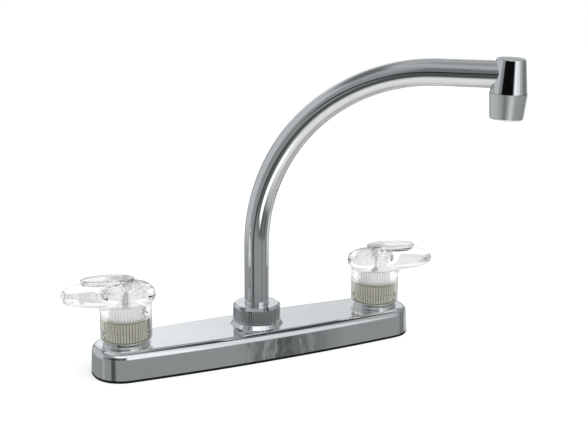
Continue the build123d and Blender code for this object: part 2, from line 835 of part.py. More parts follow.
def build_aerator_washer():
    """Rubber washer between the nipple and the aerator insert."""
    with BuildPart() as washer:
        outer = aerator_bore_radius - aerator_clearance
        head_ring(aerator_insert_top, nipple_foot, outer, head_bore_radius)
    return washer.part


def build_aerator_insert():
    """Plastic aerator insert: a short tube closed by a perforated disc at the mouth."""
    with BuildPart() as insert:
        outer = aerator_bore_radius - aerator_clearance
        head_ring(aerator_insert_foot, aerator_insert_top, outer)
        screen_top = aerator_insert_foot + screen_thickness
        head_ring(screen_top, aerator_insert_top, outer - screen_wall, mode=Mode.SUBTRACT)
        with BuildSketch(head_frame().offset(aerator_insert_foot)):
            for radius, count in zip(screen_ring_radii, screen_hole_counts):
                with PolarLocations(radius, count):
                    Circle(screen_hole_radius)
        extrude(amount=screen_thickness, mode=Mode.SUBTRACT)
    return insert.part


os.makedirs("parts", exist_ok=True)

save(build_deck_gasket(), "deck_gasket")
save(build_deck_cover(), "deck_cover")
save(build_spout_hub(), "spout_hub")
save(build_spout_tube(), "spout_tube")
save(build_spout_end_fitting(), "spout_end_fitting")
save(build_spout_seals(), "spout_seals")
save(build_spout_glide_washer(), "spout_glide_washer")
save(build_spout_retaining_ring(), "spout_retaining_ring")
save(build_spout_nut(), "spout_nut")
save(build_spout_head(), "spout_head")
save(build_aerator_housing(), "aerator_housing")
save(build_aerator_washer(), "aerator_washer")
save(build_aerator_insert(), "aerator_insert")

sides = (("left", -1, left_lever_direction), ("right", 1, right_lever_direction))
for side_name, side, lever_direction in sides:
    axis_x = side * handle_spacing / 2
    save(build_valve_body(axis_x), f"{side_name}_valve_body")
    save(build_crossover_tube(side), f"{side_name}_crossover_tube")
    save(build_mounting_washer(axis_x), f"{side_name}_mounting_washer")
    save(build_mounting_nut(axis_x), f"{side_name}_mounting_nut")
    save(build_seat_spring(axis_x), f"{side_name}_seat_spring")
    save(build_seat(axis_x), f"{side_name}_seat")
    save(build_stem(axis_x, lever_direction), f"{side_name}_stem")
    save(build_stem_seal(axis_x), f"{side_name}_stem_seal")
    save(build_cartridge(axis_x), f"{side_name}_cartridge")
    save(build_cover_nut(axis_x), f"{side_name}_cover_nut")
    save(build_bonnet_nut(axis_x), f"{side_name}_bonnet_nut")
    save(build_handle_insert(axis_x, lever_direction), f"{side_name}_handle_insert")
    save(build_handle(axis_x, lever_direction), f"{side_name}_handle")
    save(build_handle_screw(axis_x, lever_direction), f"{side_name}_handle_screw")
    save(build_index_cap(axis_x, lever_direction), f"{side_name}_index_cap")
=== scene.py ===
"""Looks of the two handle kitchen faucet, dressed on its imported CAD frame.

Sizes are in millimetres and angles in degrees unless a docstring says otherwise. Shapes and
nodes get metres and radians where they are made.
"""

import json
import logging
import math
from dataclasses import dataclass
from enum import Enum

import bmesh
import bpy
from bpy.types import Material, Node, NodeTree, Object
from mathutils import Matrix, Vector


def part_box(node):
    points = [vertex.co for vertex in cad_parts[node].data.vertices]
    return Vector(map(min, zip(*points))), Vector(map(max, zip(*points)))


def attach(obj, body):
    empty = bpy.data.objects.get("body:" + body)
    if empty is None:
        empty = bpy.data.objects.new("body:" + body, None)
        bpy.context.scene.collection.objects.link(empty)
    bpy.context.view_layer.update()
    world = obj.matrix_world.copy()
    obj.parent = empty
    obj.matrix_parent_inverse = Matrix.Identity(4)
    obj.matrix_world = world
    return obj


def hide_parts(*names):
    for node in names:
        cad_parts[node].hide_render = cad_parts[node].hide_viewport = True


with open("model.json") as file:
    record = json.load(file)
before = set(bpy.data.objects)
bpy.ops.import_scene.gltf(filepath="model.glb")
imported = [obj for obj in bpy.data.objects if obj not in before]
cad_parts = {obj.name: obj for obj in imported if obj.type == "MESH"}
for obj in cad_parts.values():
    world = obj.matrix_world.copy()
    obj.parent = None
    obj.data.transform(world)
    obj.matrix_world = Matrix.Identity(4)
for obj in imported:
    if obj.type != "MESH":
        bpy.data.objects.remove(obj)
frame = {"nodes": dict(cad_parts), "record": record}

log = logging.getLogger("faucet")

MM = 0.001
HANDLE_AXIS = 101.6
NEAR_FLOOR = -40
SHARP_ANGLE = 38.0
TURNED_SIDES = 96
OVAL_SIDES = 128
Triple = tuple[float, float, float]
Colour = Triple
Socket = bpy.types.NodeSocket

# The Mix node has sockets for each kind of data. These are the places of its colour sockets.
MIX_INPUTS = (0, 6, 7)
MIX_OUTPUT = 2

# Where a mottle is at its darkest and at its lightest.
MOTTLE = (0.3, 0.7)


class Side(Enum):
    """The two ends of the deck cover."""

    LEFT = ("left", -1, 166.0)
    RIGHT = ("right", 1, -14.0)

    def __init__(self, word: str, sign: int, lever: float) -> None:
        """Keep what belongs to the side.

        Args:
            word: The word that its nodes' names start with.
            sign: The sign of its place along X.
            lever: The way that its lever points.
        """
        self.word = word
        self.x = sign * HANDLE_AXIS
        self.lever = math.radians(lever)

    def node(self, piece: str) -> str:
        """Return the name of this side's CAD node for a piece."""
        return f"{self.word}_{piece}"


class Ray(Enum):
    """The kinds of ray that the world and the floor answer in their own way."""

    CAMERA = "Is Camera Ray"
    GLOSSY = "Is Glossy Ray"
    TRANSMISSION = "Is Transmission Ray"


class Rounding(Enum):
    """How a mapped value starts and ends."""

    SOFT = "SMOOTHSTEP"
    STRAIGHT = "LINEAR"


# ---- colours


def grey(level: float) -> Colour:
    """Return a neutral grey."""
    return (level, level, level)


def dimmed(colour: Colour, share: float) -> Colour:
    """Return a colour with each part cut to a share."""
    return tuple(share * part for part in colour)


def tinted(level: float, elevation: float) -> Colour:
    """Return a grey: faintly blue above the horizon, faintly green below, warm near the floor."""
    below = (0.935, 0.985) if elevation > NEAR_FLOOR else (1.02, 0.99)
    red, blue = (0.975, 1.02) if elevation > 0 else below
    return (red * level, level, blue * level)


# ---- node helpers


class Graph:
    """Short calls that add and join nodes in one shader tree.

    An object among their arguments is a number, a vector, a colour or an output's socket.
    """

    def __init__(self, tree: NodeTree) -> None:
        """Take the tree to work in."""
        self.tree = tree

    def add(self, kind: str, **settings: object) -> Node:
        """Add a node.

        Args:
            kind: The node's type without its Shader prefix.
            settings: Attributes to set on the node.

        Returns:
            The new node.
        """
        node = self.tree.nodes.new("ShaderNode" + kind)
        for name, value in settings.items():
            setattr(node, name, value)
        return node

    def put(self, socket: Socket, value: object) -> None:
        """Join an output to an input, or set the input to a plain value.

        Args:
            socket: The input.
            value: The output or the plain value.
        """
        if isinstance(value, Socket):
            self.tree.links.new(value, socket)
        elif socket.type == "RGBA":
            socket.default_value = (*value, 1.0)
        else:
            socket.default_value = value

    def work(self, kind: str, output: str | int, inputs: dict, **settings: object) -> Socket:
        """Add a node and fill its inputs.

        Args:
            kind: The node's type without its Shader prefix.
            output: The name or place of the output that is wanted.
            inputs: What goes into its inputs, by their names or places.
            settings: Attributes to set on the node.

        Returns:
            The wanted output.
        """
        node = self.add(kind, **settings)
        for place, value in inputs.items():
            self.put(node.inputs[place], value)
        return node.outputs[output]

    def math(self, operation: str, *values: object) -> Socket:
        """Return the result of a Math node."""
        return self.work("Math", 0, dict(enumerate(values)), operation=operation)

    def times(self, first: object, second: object) -> Socket:
        """Return a product."""
        return self.math("MULTIPLY", first, second)

    def mix(self, factor: object, first: object, second: object) -> Socket:
        """Return a colour mixed from two by a factor."""
        inputs = dict(zip(MIX_INPUTS, (factor, first, second)))
        return self.work("Mix", MIX_OUTPUT, inputs, data_type="RGBA")

    def span(self, value: object, low: float, high: float, first: float = 0.0, last: float = 1.0,
             rounding: Rounding = Rounding.SOFT) -> Socket:
        """Map a value from one range to another.

        Args:
            value: The value that is mapped.
            low: Where the range starts.
            high: Where the range ends.
            first: The result at the start.
            last: The result at the end.
            rounding: How the result leaves its start and reaches its end.

        Returns:
            The mapped value.
        """
        inputs = dict(enumerate((value, low, high, first, last)))
        return self.work("MapRange", 0, inputs, interpolation_type=rounding.value)

    def rise(self, place: object, low: float, high: float) -> Socket:
        """Return 0 below the first of two places, 1 above the second and a soft step between."""
        return self.span(place, low * MM, high * MM)

    def fall(self, place: object, low: float, high: float) -> Socket:
        """Return 1 below the first of two places, 0 above the second and a soft step between."""
        return self.span(place, low * MM, high * MM, 1.0, 0.0)

    def between(self, share: object, first: float, last: float, low: float = 0.0,
                high: float = 1.0) -> Socket:
        """Return what goes straight from first to last while a share goes from low to high."""
        return self.span(share, low, high, first, last, Rounding.STRAIGHT)

    def ramp(self, value: object, stops: tuple[tuple[float, Colour], ...]) -> Socket:
        """Look a colour up on a ramp.

        Args:
            value: The place on the ramp, between 0 and 1.
            stops: The ramp's places with their colours.

        Returns:
            The colour's socket.
        """
        node = self.add("ValToRGB")
        points = node.color_ramp.elements
        while len(points) < len(stops):
            points.new(0.5)
        for point, (place, colour) in zip(points, stops):
            point.position = place
            point.color = (*colour, 1.0)
        self.put(node.inputs[0], value)
        return node.outputs[0]

    def noise(self, vector: object, scale: object, detail: float = 2.0, rough: float = 0.5,
              distortion: float = 0.0) -> Socket:
        """Return soft noise over a vector, with its usual settings."""
        return self.work("TexNoise", "Fac", {"Vector": vector, "Scale": scale, "Detail": detail,
                                             "Roughness": rough, "Distortion": distortion})

    def cells(self, vector: object, scale: float, smoothness: float = 0.6) -> Socket:
        """Return the distance to the nearest centre of rounded cells over a vector."""
        inputs = {"Vector": vector, "Scale": scale, "Smoothness": smoothness}
        return self.work("TexVoronoi", "Distance", inputs, feature="SMOOTH_F1")

    def stretch(self, vector: object, scale: Triple) -> Socket:
        """Return a vector scaled along its axes."""
        return self.work("Mapping", 0, {"Vector": vector, "Scale": scale})

    def parts(self, vector: object) -> tuple[Socket, Socket, Socket]:
        """Return the x, y and z of a vector."""
        return tuple(self.work("SeparateXYZ", 0, {0: vector}).node.outputs)

    def about_axis(self, vector: object, centre: object) -> tuple[Socket, Socket, Socket]:
        """Find a place about the upright axes at plus and minus a distance along X.

        Args:
            vector: The place.
            centre: The distance of the axes from the middle, in metres.

        Returns:
            The radius, the angle and the height.
        """
        x, y, z = self.parts(vector)
        across = self.math("SUBTRACT", self.math("ABSOLUTE", x), centre)
        square = self.math("ADD", self.times(across, across), self.times(y, y))
        return self.math("SQRT", square), self.math("ARCTAN2", y, across), z

    def ray(self, kind: Ray) -> Socket:
        """Return 1 for rays of a kind and 0 for the rest."""
        return self.add("LightPath").outputs[kind.value]

    def bump(self, height: object, strength: float, rise: float, under: object = None) -> Socket:
        """Bend a normal by a height.

        Args:
            height: The height.
            strength: How much of the bend is used.
            rise: How high a height of 1 stands.
            under: A normal that is bent already.

        Returns:
            The bent normal.
        """
        inputs = {"Strength": strength, "Distance": rise * MM, "Height": height}
        if under is not None:
            inputs["Normal"] = under
        return self.work("Bump", 0, inputs)


class Group(Graph):
    """A shader node group in the making, over a place and named numbers."""

    def __init__(self, name: str, outputs: tuple[str, ...], **inputs: float) -> None:
        """Make the empty group.

        Args:
            name: The group's name.
            outputs: Names of its number outputs.
            inputs: Names and defaults of its number inputs.
        """
        super().__init__(bpy.data.node_groups.new(name, "ShaderNodeTree"))
        face = self.tree.interface
        face.new_socket("Vector", in_out="INPUT", socket_type="NodeSocketVector")
        for label, default in inputs.items():
            socket = face.new_socket(label, in_out="INPUT", socket_type="NodeSocketFloat")
            socket.default_value = default
        for label in outputs:
            face.new_socket(label, in_out="OUTPUT", socket_type="NodeSocketFloat")
        self.given = self.tree.nodes.new("NodeGroupInput").outputs
        self.result = self.tree.nodes.new("NodeGroupOutput").inputs
        self.place = self.given["Vector"]

    def closed(self, **results: Socket) -> NodeTree:
        """Join the results to the outputs of their names and return the group's tree."""
        for name, value in results.items():
            self.put(self.result[name], value)
        return self.tree


class Effects:
    """The shader node groups that several finishes share, each built once.

    The flutes run between an inner and an outer radius and up to a top. Each of these has the
    two ends of its fade. The flute wave is the part of a cosine that climbs out of a flute.
    """

    FLUTE_INNER = (17.15, 17.2)
    FLUTE_OUTER = (19.0, 19.1)
    FLUTE_TOP = (35.2, 35.3)
    FLUTE_WAVE = (-0.9, 0.1)

    def __init__(self) -> None:
        """Build every group."""
        self.waviness = self._waviness()
        self.handling = self._handling()
        self.grain = self._grain()
        self.fluting = self._fluting()
        self.thread = self._thread()

    def _waviness(self) -> NodeTree:
        """Return the long soft swells that a polished and plated surface keeps."""
        group = Group("plating swell", ("Height",), Scale=60.0)
        return group.closed(Height=group.noise(group.place, group.given["Scale"], 1.0, 0.4))

    def _handling(self) -> NodeTree:
        """Make faint wiping marks and dried water film.

        Returns:
            The group, which puts out a mask.
        """
        group = Group("wiping marks", ("Mask",), Scale=220.0, Amount=0.5)
        lying = group.stretch(group.place, (1.0, 1.0, 0.15))
        cloud = group.noise(lying, 35.0, detail=4.0, rough=0.6, distortion=0.6)
        drawn = group.stretch(group.place, (1.0, 0.25, 1.0))
        streaks = group.span(group.noise(drawn, group.given["Scale"], detail=6.0), 0.52, 0.75)
        film = group.span(cloud, 0.42, 0.72)
        both = group.times(group.math("ADD", film, streaks), group.given["Amount"])
        return group.closed(Mask=group.math("MINIMUM", both, 1.0))

    def _grain(self) -> NodeTree:
        """Make the fine even grain of a moulded or cast surface.

        Returns:
            The group, which puts out a soft mottle and the grain's height.
        """
        group = Group("moulded grain", ("Mottle", "Height"), Scale=900.0)
        mottle = group.noise(group.place, 90.0, detail=3.0, rough=0.55)
        fine = group.noise(group.place, group.given["Scale"], detail=3.0)
        return group.closed(Mottle=mottle, Height=fine)

    def _fluting(self) -> NodeTree:
        """Make upright flutes round an axis.

        Returns:
            The group, which puts out 1 on the lands and 0 in the flutes.
        """
        group = Group("flutes", ("Land",), Centre=0.0, Count=84.0)
        radius, angle, height = group.about_axis(group.place, group.given["Centre"])
        wave = group.math("COSINE", group.times(angle, group.given["Count"]))
        land = group.span(wave, *self.FLUTE_WAVE)
        for plain in (group.fall(radius, *self.FLUTE_INNER), group.rise(radius, *self.FLUTE_OUTER),
                      group.rise(height, *self.FLUTE_TOP)):
            land = group.math("MAXIMUM", land, plain)
        return group.closed(Land=land)

    def _thread(self) -> NodeTree:
        """Make a screw thread about an axis.

        Returns:
            The group, which puts out a height of 1 on the crests and 0 at the roots.
        """
        group = Group("screw thread", ("Height",), Centre=0.0, Pitch=0.0018)
        _, angle, height = group.about_axis(group.place, group.given["Centre"])
        climbed = group.math("DIVIDE", height, group.given["Pitch"])
        turns = group.math("ADD", climbed, group.times(angle, 0.5 / math.pi))
        return group.closed(Height=group.times(group.math("PINGPONG", turns, 0.5), 2.0))


# ---- finishes


class Coat(Graph):
    """A material in the making, with its Principled shader and its object's coordinates."""

    def __init__(self, name: str, effects: Effects | None = None) -> None:
        """Make the plain material.

        Args:
            name: The material's name.
            effects: The shared node groups, where it uses them.
        """
        self.material = bpy.data.materials.new(name)
        self.material.use_nodes = True
        super().__init__(self.material.node_tree)
        self.effects = effects
        self.shader = self.tree.nodes["Principled BSDF"]
        self.place = self.add("TexCoord").outputs["Object"]

    def feed(self, name: str, value: object) -> None:
        """Join an output to one of the shader's inputs, or set that input."""
        self.put(self.shader.inputs[name], value)

    def effect(self, group: NodeTree, **values: float) -> bpy.types.NodeOutputs:
        """Put a shared node group in the material, over the object's coordinates.

        Args:
            group: The node group.
            values: Numbers for its named inputs.

        Returns:
            The outputs, by their names.
        """
        inputs = {"Vector": self.place, **values}
        return self.work("Group", 0, inputs, node_tree=group).node.outputs


@dataclass(frozen=True)
class Finish:
    """A named finish that becomes one material."""

    name: str

    def make(self, effects: Effects) -> Material:
        """Return the finish as a new material, which uses the shared node groups."""
        coat = Coat(self.name, effects)
        self.paint(coat)
        return coat.material

    def paint(self, coat: Coat) -> None:
        """Paint the surface in the finish's own way."""
        raise NotImplementedError


@dataclass(frozen=True)
class Chrome(Finish):
    """Bright or satin nickel-chrome plating.

    The swell is left by polishing. The ripple is that of a pressing near its middle, which
    fades between two distances. A share is what wiping marks leave of the colour, and another
    is what the painted shade in the flutes leaves of it.
    """

    colour: Colour = (0.80, 0.82, 0.83)
    clean: float = 0.035
    wiped: float = 0.09
    swell: float = 0.05
    swell_scale: float = 45.0
    marks: float = 0.5
    marked_share: float = 0.93
    ripple: float = 0.0
    ripple_core: float = 15.6
    ripple_reach: float = 52.0
    flutes: float = 0.0
    flute_shade_share: float = 0.45

    def paint(self, coat: Coat) -> None:
        """Paint the plating.

        Args:
            coat: The material.
        """
        marks = coat.effect(coat.effects.handling, Amount=self.marks)["Mask"]
        colour = coat.mix(marks, self.colour, dimmed(self.colour, self.marked_share))
        if self.flutes:
            land = coat.effect(coat.effects.fluting, Count=self.flutes)["Land"]
            # Painted shade: the colour in the flutes is dimmed to a share of itself.
            colour = coat.mix(land, dimmed(self.colour, self.flute_shade_share), colour)
        swell = coat.effect(coat.effects.waviness, Scale=self.swell_scale)["Height"]
        normal = coat.bump(swell, 1.0, self.swell)
        if self.ripple:
            across = coat.math("ABSOLUTE", coat.parts(coat.place)[0])
            near = coat.fall(across, self.ripple_core, self.ripple_reach)
            lying = coat.stretch(coat.place, (1.0, 1.0, 0.7))
            waves = coat.noise(lying, 75.0, detail=0.0, distortion=1.2)
            normal = coat.bump(coat.times(waves, near), 1.0, self.ripple, normal)
        coat.feed("Base Color", colour)
        coat.feed("Roughness", coat.between(marks, self.clean, self.wiped))
        coat.feed("Metallic", 1.0)
        coat.feed("Normal", normal)


@dataclass(frozen=True)
class ClearPlastic(Finish):
    """Polished clear acrylic, with flow lines outside and bubbly facets in its inner sockets.

    The skirt's colour is a warm grey in a band at its foot, painted shade that darkens it there.
    The wall of the socket that grips the insert is frosted, which adds to its roughness, and
    keeps only a share of the facets.
    """

    colour: Colour = (0.99, 0.993, 0.99)
    marked_share: float = 0.975
    # The band's warm grey, which is painted shade.
    cast: Colour = (0.46, 0.46, 0.425)
    rough: float = 0.012
    wiped: float = 0.042
    frost: float = 0.16
    ior: float = 1.49
    flow: float = 0.12
    facets: float = 0.9
    wall_facets: float = 0.25
    socket_radius: float = 13.4
    socket_foot: float = 41.4
    socket_top: float = 51.4
    fade: float = 0.2
    band_top: float = 41.8
    band_fade: float = 1.2

    def paint(self, coat: Coat) -> None:
        """Paint the clear plastic.

        Args:
            coat: The material.
        """
        marks = coat.effect(coat.effects.handling, Amount=0.4)["Mask"]
        flow = coat.effect(coat.effects.waviness, Scale=160.0)["Height"]
        radius, _, height = coat.about_axis(coat.place, HANDLE_AXIS * MM)
        band = coat.fall(height, self.band_top - self.band_fade, self.band_top + self.band_fade)
        core = coat.times(
            coat.fall(radius, self.socket_radius - self.fade, self.socket_radius),
            coat.rise(height, self.socket_foot, self.socket_foot + self.fade),
        )
        under_top = coat.fall(height, self.socket_top, self.socket_top + self.fade)
        frosted = coat.times(core, under_top)
        wiped = coat.mix(marks, self.colour, dimmed(self.colour, self.marked_share))
        # Painted shade: below the band's top the plastic takes the warm grey colour.
        coat.feed("Base Color", coat.mix(band, wiped, self.cast))
        rough = coat.between(marks, self.rough, self.wiped)
        rough = coat.math("ADD", rough, coat.times(frosted, self.frost))
        coat.feed("Roughness", rough)
        coat.feed("IOR", self.ior)
        coat.feed("Transmission Weight", 1.0)
        depth = coat.times(core, coat.span(frosted, 0.0, 1.0, 1.0, self.wall_facets))
        bubbles = coat.times(coat.cells(coat.place, 420.0), depth)
        normal = coat.bump(flow, 1.0, self.flow)
        coat.feed("Normal", coat.bump(bubbles, 1.0, self.facets, normal))


@dataclass(frozen=True)
class FrostedPlastic(Finish):
    """Clear plastic with a faintly frosted face and a rim painted greyer, for the index caps.

    The piece's own attribute "rim" is 1 on its rim, whose grey is painted shade along the edges.
    """

    colour: Colour = (0.99, 0.985, 0.975)
    milk: Colour = (0.97, 0.965, 0.955)
    rim: Colour = (0.87, 0.87, 0.86)
    clear: float = 0.97
    rough: tuple[float, float] = (0.02, 0.10)
    ior: float = 1.46
    frost: float = 0.03

    def paint(self, coat: Coat) -> None:
        """Paint the cap's plastic.

        Args:
            coat: The material.
        """
        mottle = coat.effect(coat.effects.grain, Scale=500.0)["Mottle"]
        marks = coat.effect(coat.effects.handling, Amount=0.5)["Mask"]
        rim = coat.add("Attribute", attribute_name="rim").outputs["Fac"]
        body = coat.mix(marks, self.colour, self.milk)
        # Painted shade: the rim takes the greyer colour, which draws the cap's edges.
        coat.feed("Base Color", coat.mix(coat.span(rim, 0.2, 0.9), body, self.rim))
        coat.feed("Roughness", coat.between(mottle, *self.rough, *MOTTLE))
        coat.feed("IOR", self.ior)
        coat.feed("Transmission Weight", self.clear)
        coat.feed("Normal", coat.bump(mottle, 0.6, self.frost))


@dataclass(frozen=True)
class MouldedPlastic(Finish):
    """Opaque moulded plastic or rubber with a fine grain and a faint mottle of two colours."""

    colour: Colour
    shade: Colour
    rough: tuple[float, float] = (0.39, 0.51)
    grain: float = 0.03
    gloss: float = 0.5

    def paint(self, coat: Coat) -> None:
        """Paint the moulded plastic.

        Args:
            coat: The material.
        """
        grain = coat.effect(coat.effects.grain)
        patches = coat.span(grain["Mottle"], 0.35, 0.65)
        coat.feed("Base Color", coat.mix(patches, self.shade, self.colour))
        coat.feed("Roughness", coat.between(grain["Mottle"], *self.rough, *MOTTLE))
        coat.feed("Specular IOR Level", self.gloss)
        coat.feed("Normal", coat.bump(grain["Height"], 0.6, self.grain))


@dataclass(frozen=True)
class RibbedPlastic(Finish):
    """Moulded plastic with upright ribs, whose valleys are darker as painted shade.

    The glow is painted light: its own colour given off as emission, bright inside the handle.
    """

    crest: Colour
    valley: Colour
    crest_radius: float
    valley_radius: float
    rough: tuple[float, float]
    glow: float
    mottled_share: float = 0.88
    grain: float = 0.02

    def paint(self, coat: Coat) -> None:
        """Paint the ribbed plastic.

        Args:
            coat: The material.
        """
        grain = coat.effect(coat.effects.grain)
        radius, _, _ = coat.about_axis(coat.place, HANDLE_AXIS * MM)
        # Painted shade: the valleys take the darker colour and the crests the lighter one.
        proud = coat.rise(radius, self.valley_radius, self.crest_radius)
        patches = coat.span(grain["Mottle"], *MOTTLE, self.mottled_share, 1.0)
        colour = coat.mix(coat.times(proud, patches), self.valley, self.crest)
        coat.feed("Base Color", colour)
        coat.feed("Roughness", coat.between(grain["Mottle"], *self.rough, *MOTTLE))
        # Painted light: the colour is given off as a glow, though the piece is no lamp.
        coat.feed("Emission Color", colour)
        coat.feed("Emission Strength", self.glow)
        coat.feed("Normal", coat.bump(grain["Height"], 0.5, self.grain))


@dataclass(frozen=True)
class TurnedMetal(Finish):
    """Bare brass, copper or steel with turning or drawing lines, and a thread where it has one.

    The lines lie across the axis with the large number. The thread runs below a height, and its
    roots are darker, as painted shade.
    """

    colour: Colour
    shade: Colour
    rough: tuple[float, float] = (0.20, 0.38)
    lines: Triple = (1.0, 1.0, 30.0)
    line_depth: float = 0.03
    thread_top: float | None = None
    thread_fade: float = 0.4
    thread_depth: float = 0.9
    root_share: float = 0.45

    def paint(self, coat: Coat) -> None:
        """Paint the metal.

        Args:
            coat: The material.
        """
        mottle = coat.effect(coat.effects.grain)["Mottle"]
        colour = coat.mix(coat.span(mottle, *MOTTLE), self.shade, self.colour)
        drawn = coat.stretch(coat.place, self.lines)
        lines = coat.noise(drawn, 120.0, detail=3.0, rough=0.6)
        normal = coat.bump(lines, 0.4, self.line_depth)
        if self.thread_top is not None:
            axis = HANDLE_AXIS * MM
            thread = coat.effect(coat.effects.thread, Centre=axis)["Height"]
            height = coat.parts(coat.place)[2]
            below = coat.fall(height, self.thread_top - self.thread_fade, self.thread_top)
            cut = coat.times(thread, below)
            normal = coat.bump(cut, 1.0, self.thread_depth, normal)
            # Painted shade: the thread's roots take a darker colour.
            root = coat.times(coat.math("SUBTRACT", 1.0, thread), below)
            colour = coat.mix(root, colour, dimmed(self.shade, self.root_share))
        coat.feed("Base Color", colour)
        coat.feed("Roughness", coat.between(lines, *self.rough, *MOTTLE))
        coat.feed("Metallic", 1.0)
        coat.feed("Normal", normal)


FINISHES: dict[str, Finish] = {
    "cover_chrome": Chrome("bright chrome, cover", ripple=0.12),
    "tube_chrome": Chrome("bright chrome, tube", swell=0.02),
    "nut_chrome": Chrome("bright chrome, nuts", swell=0.01, clean=0.06, flutes=84.0),
    "head_chrome": Chrome("bright chrome, head", swell=0.01),
    "aerator_chrome": Chrome(
        "satin chrome, aerator", (0.95, 0.96, 0.96), clean=0.28, wiped=0.34, swell=0.01),
    "clear_plastic": ClearPlastic("clear acrylic"),
    "cap_plastic": FrostedPlastic("frosted cap"),
    "insert_plastic": RibbedPlastic(
        "milky insert", (0.92, 0.92, 0.91), (0.70, 0.70, 0.69),
        crest_radius=12.7, valley_radius=12.2, rough=(0.34, 0.46), glow=0.22),
    "bonnet_plastic": RibbedPlastic(
        "bonnet nut plastic", (0.96, 0.945, 0.91), (0.38, 0.37, 0.33),
        crest_radius=14.9, valley_radius=14.2, rough=(0.24, 0.36), glow=0.62),
    "guide_plastic": MouldedPlastic("guide plastic", (0.88, 0.88, 0.85), (0.82, 0.82, 0.79)),
    "lock_nut_plastic": MouldedPlastic(
        "lock nut plastic", (0.84, 0.84, 0.82), (0.78, 0.78, 0.76)),
    "brass": TurnedMetal(
        "machined brass", (0.78, 0.60, 0.30), (0.68, 0.51, 0.25), thread_top=-3.0),
    "copper": TurnedMetal(
        "drawn copper", (0.78, 0.45, 0.30), (0.68, 0.38, 0.25), lines=(30.0, 1.0, 1.0)),
    "spring_steel": TurnedMetal("spring steel", (0.62, 0.62, 0.63), (0.52, 0.52, 0.53)),
    "screw_steel": TurnedMetal("turned steel", (0.66, 0.66, 0.67), (0.55, 0.55, 0.56)),
    "gasket_rubber": MouldedPlastic(
        "gasket rubber", grey(0.008), grey(0.004), rough=(0.74, 0.86), grain=0.04, gloss=0.15),
    "seal_rubber": MouldedPlastic("seal rubber", grey(0.03), grey(0.018), rough=(0.49, 0.61)),
}


# ---- meshes


def heights(node: str) -> tuple[float, float]:
    """Return the heights of a CAD node's foot and top."""
    foot, top = (corner[2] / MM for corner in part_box(node))
    return foot, top


def turns(steps: int) -> list[float]:
    """Return the angles of a full turn's steps, in radians."""
    return [2 * math.pi * step / steps for step in range(steps)]


def linked(name: str, data: bpy.types.ID) -> Object:
    """Return a new object for a mesh, camera or lamp, linked to the scene."""
    item = bpy.data.objects.new(name, data)
    bpy.context.scene.collection.objects.link(item)
    return item


def finished(name: str, shape: bmesh.types.BMesh) -> Object:
    """Turn a built shape into an object with outward faces, smooth walls and sharp corners.

    Args:
        name: The new object's name.
        shape: The shape, which is used up.

    Returns:
        The new object.
    """
    bmesh.ops.recalc_face_normals(shape, faces=shape.faces[:])
    mesh = bpy.data.meshes.new(name)
    shape.to_mesh(mesh)
    shape.free()
    mesh.shade_smooth()
    mesh.set_sharp_from_angle(angle=math.radians(SHARP_ANGLE))
    return linked(name, mesh)


def turned(name: str, section: list[tuple[float, float]], x: float) -> Object:
    """Turn a closed section about the upright axis over x.

    Args:
        name: The new object's name.
        section: Radius and height of each corner, in order round the section.
        x: Where the axis stands.

    Returns:
        The turned object.
    """
    shape = bmesh.new()
    rings = []
    for turn in turns(TURNED_SIDES):
        cos, sin = math.cos(turn), math.sin(turn)
        rings.append([shape.verts.new(((x + radius * cos) * MM, radius * sin * MM, height * MM))
                      for radius, height in section])
    for here, there in zip(rings, rings[1:] + rings[:1]):
        for first in range(len(section)):
            last = (first + 1) % len(section)
            shape.faces.new((here[first], there[first], there[last], here[last]))
    return finished(name, shape)


def add_ovals(shape: bmesh.types.BMesh, ovals: list[Triple], x: float, turn: float,
              reach: float, rim: tuple[int, ...] = ()) -> None:
    """Add a closed shell through stacked ovals.

    Args:
        shape: The mesh that the shell joins.
        ovals: Half length, half width and height of each oval, from the lowest to the last.
        x: Where the upright axis stands that the ovals are turned about.
        turn: The direction of the ovals' length, in radians.
        reach: How far the ovals' middle is from the axis, along their length.
        rim: The places in the list of the ovals that lie on a rim.
    """
    ahead = Vector((math.cos(turn), math.sin(turn)))
    aside = Vector((-math.sin(turn), math.cos(turn)))
    layer = shape.verts.layers.float.get("rim") or shape.verts.layers.float.new("rim")
    loops = []
    for place, (half_length, half_width, height) in enumerate(ovals):
        loop = []
        for angle in turns(OVAL_SIDES):
            along = ahead * (reach + half_length * math.cos(angle))
            flat = along + aside * (half_width * math.sin(angle))
            corner = shape.verts.new(((x + flat.x) * MM, flat.y * MM, height * MM))
            corner[layer] = float(place in rim)
            loop.append(corner)
        loops.append(loop)
    for here, there in zip(loops, loops[1:]):
        for first in range(OVAL_SIDES):
            last = (first + 1) % OVAL_SIDES
            shape.faces.new((here[first], here[last], there[last], there[first]))
    shape.faces.new(loops[0][::-1])
    shape.faces.new(loops[-1])


@dataclass(frozen=True)
class Ribs:
    """A ring of round upright ribs.

    The numbers are the radius that the ribs reach, the radius of each rib, their count and how
    far they stop short of the core's ends.
    """

    reach: float
    radius: float
    count: int
    margin: float


